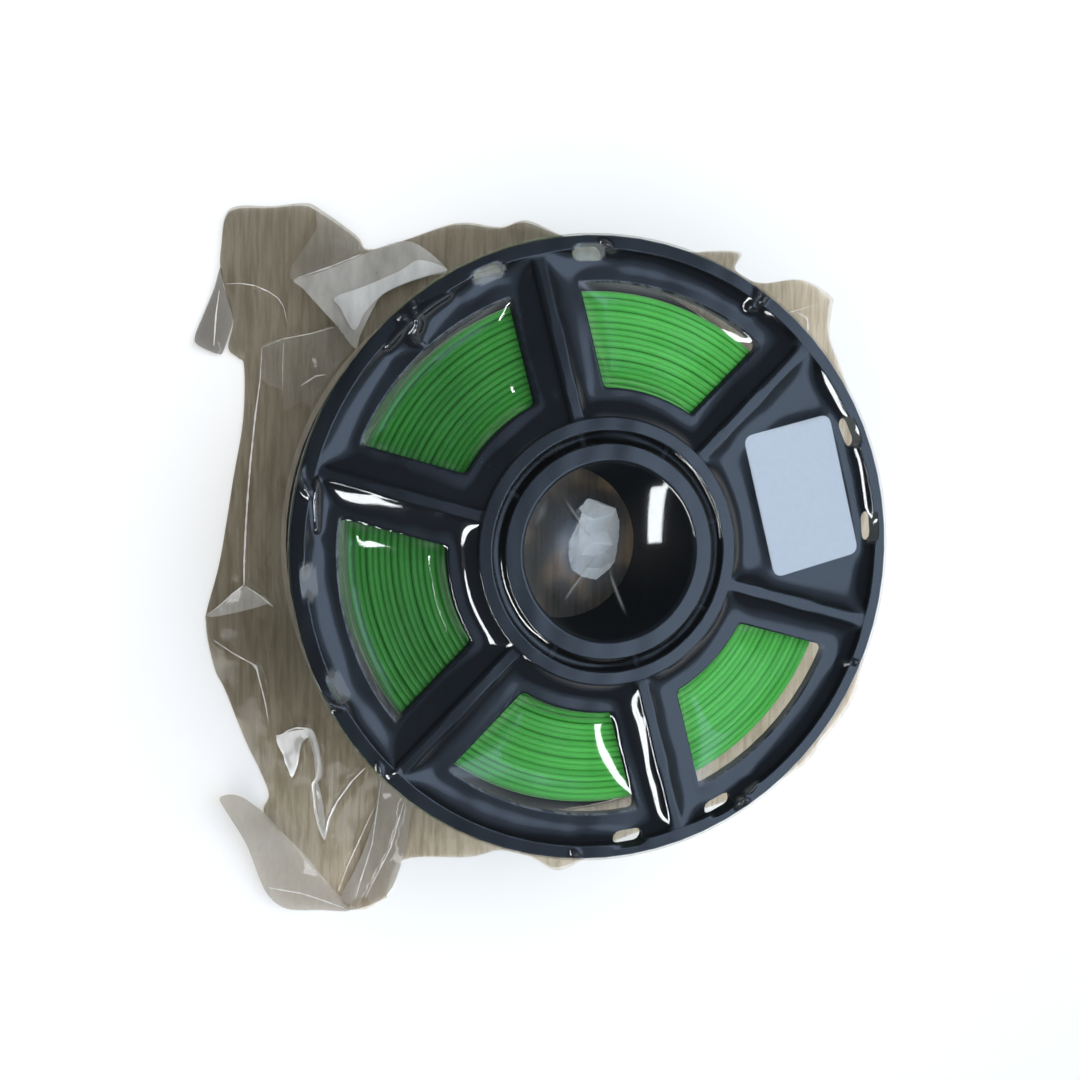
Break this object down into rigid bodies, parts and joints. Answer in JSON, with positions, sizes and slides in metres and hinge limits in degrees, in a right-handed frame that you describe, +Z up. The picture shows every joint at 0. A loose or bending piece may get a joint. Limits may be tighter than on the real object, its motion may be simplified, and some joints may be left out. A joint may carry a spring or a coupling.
{
  "type": "filament spool",
  "caption": "Moulded plastic spool wound with printer filament, with a bare paper label and a drying sachet, sealed in a clear film bag.",
  "frame": {"origin": "on the spool's axis, at the underside of the bag's back film, which lies on the table", "axes": "+Z up along the spool's axis, towards the front flange; +X through the middle of the closed sector that carries the label"},
  "size_m": [0.2367, 0.2299, 0.0522],
  "materials": {
    "black_plastic": "satin",
    "green_filament": "gloss",
    "label_paper": "matte",
    "sachet_paper": "matte",
    "clear_film": "gloss"
  },
  "bodies": {
    "root": {"front_flange": "black_plastic", "back_flange": "black_plastic", "filament_core": "green_filament", "filament_outer_turns": "green_filament", "filament_front_turns": "green_filament", "label": "label_paper", "desiccant_sachet": "sachet_paper", "bag_back_film": "clear_film", "bag_front_film": "clear_film"}
  },
  "joints": []
}
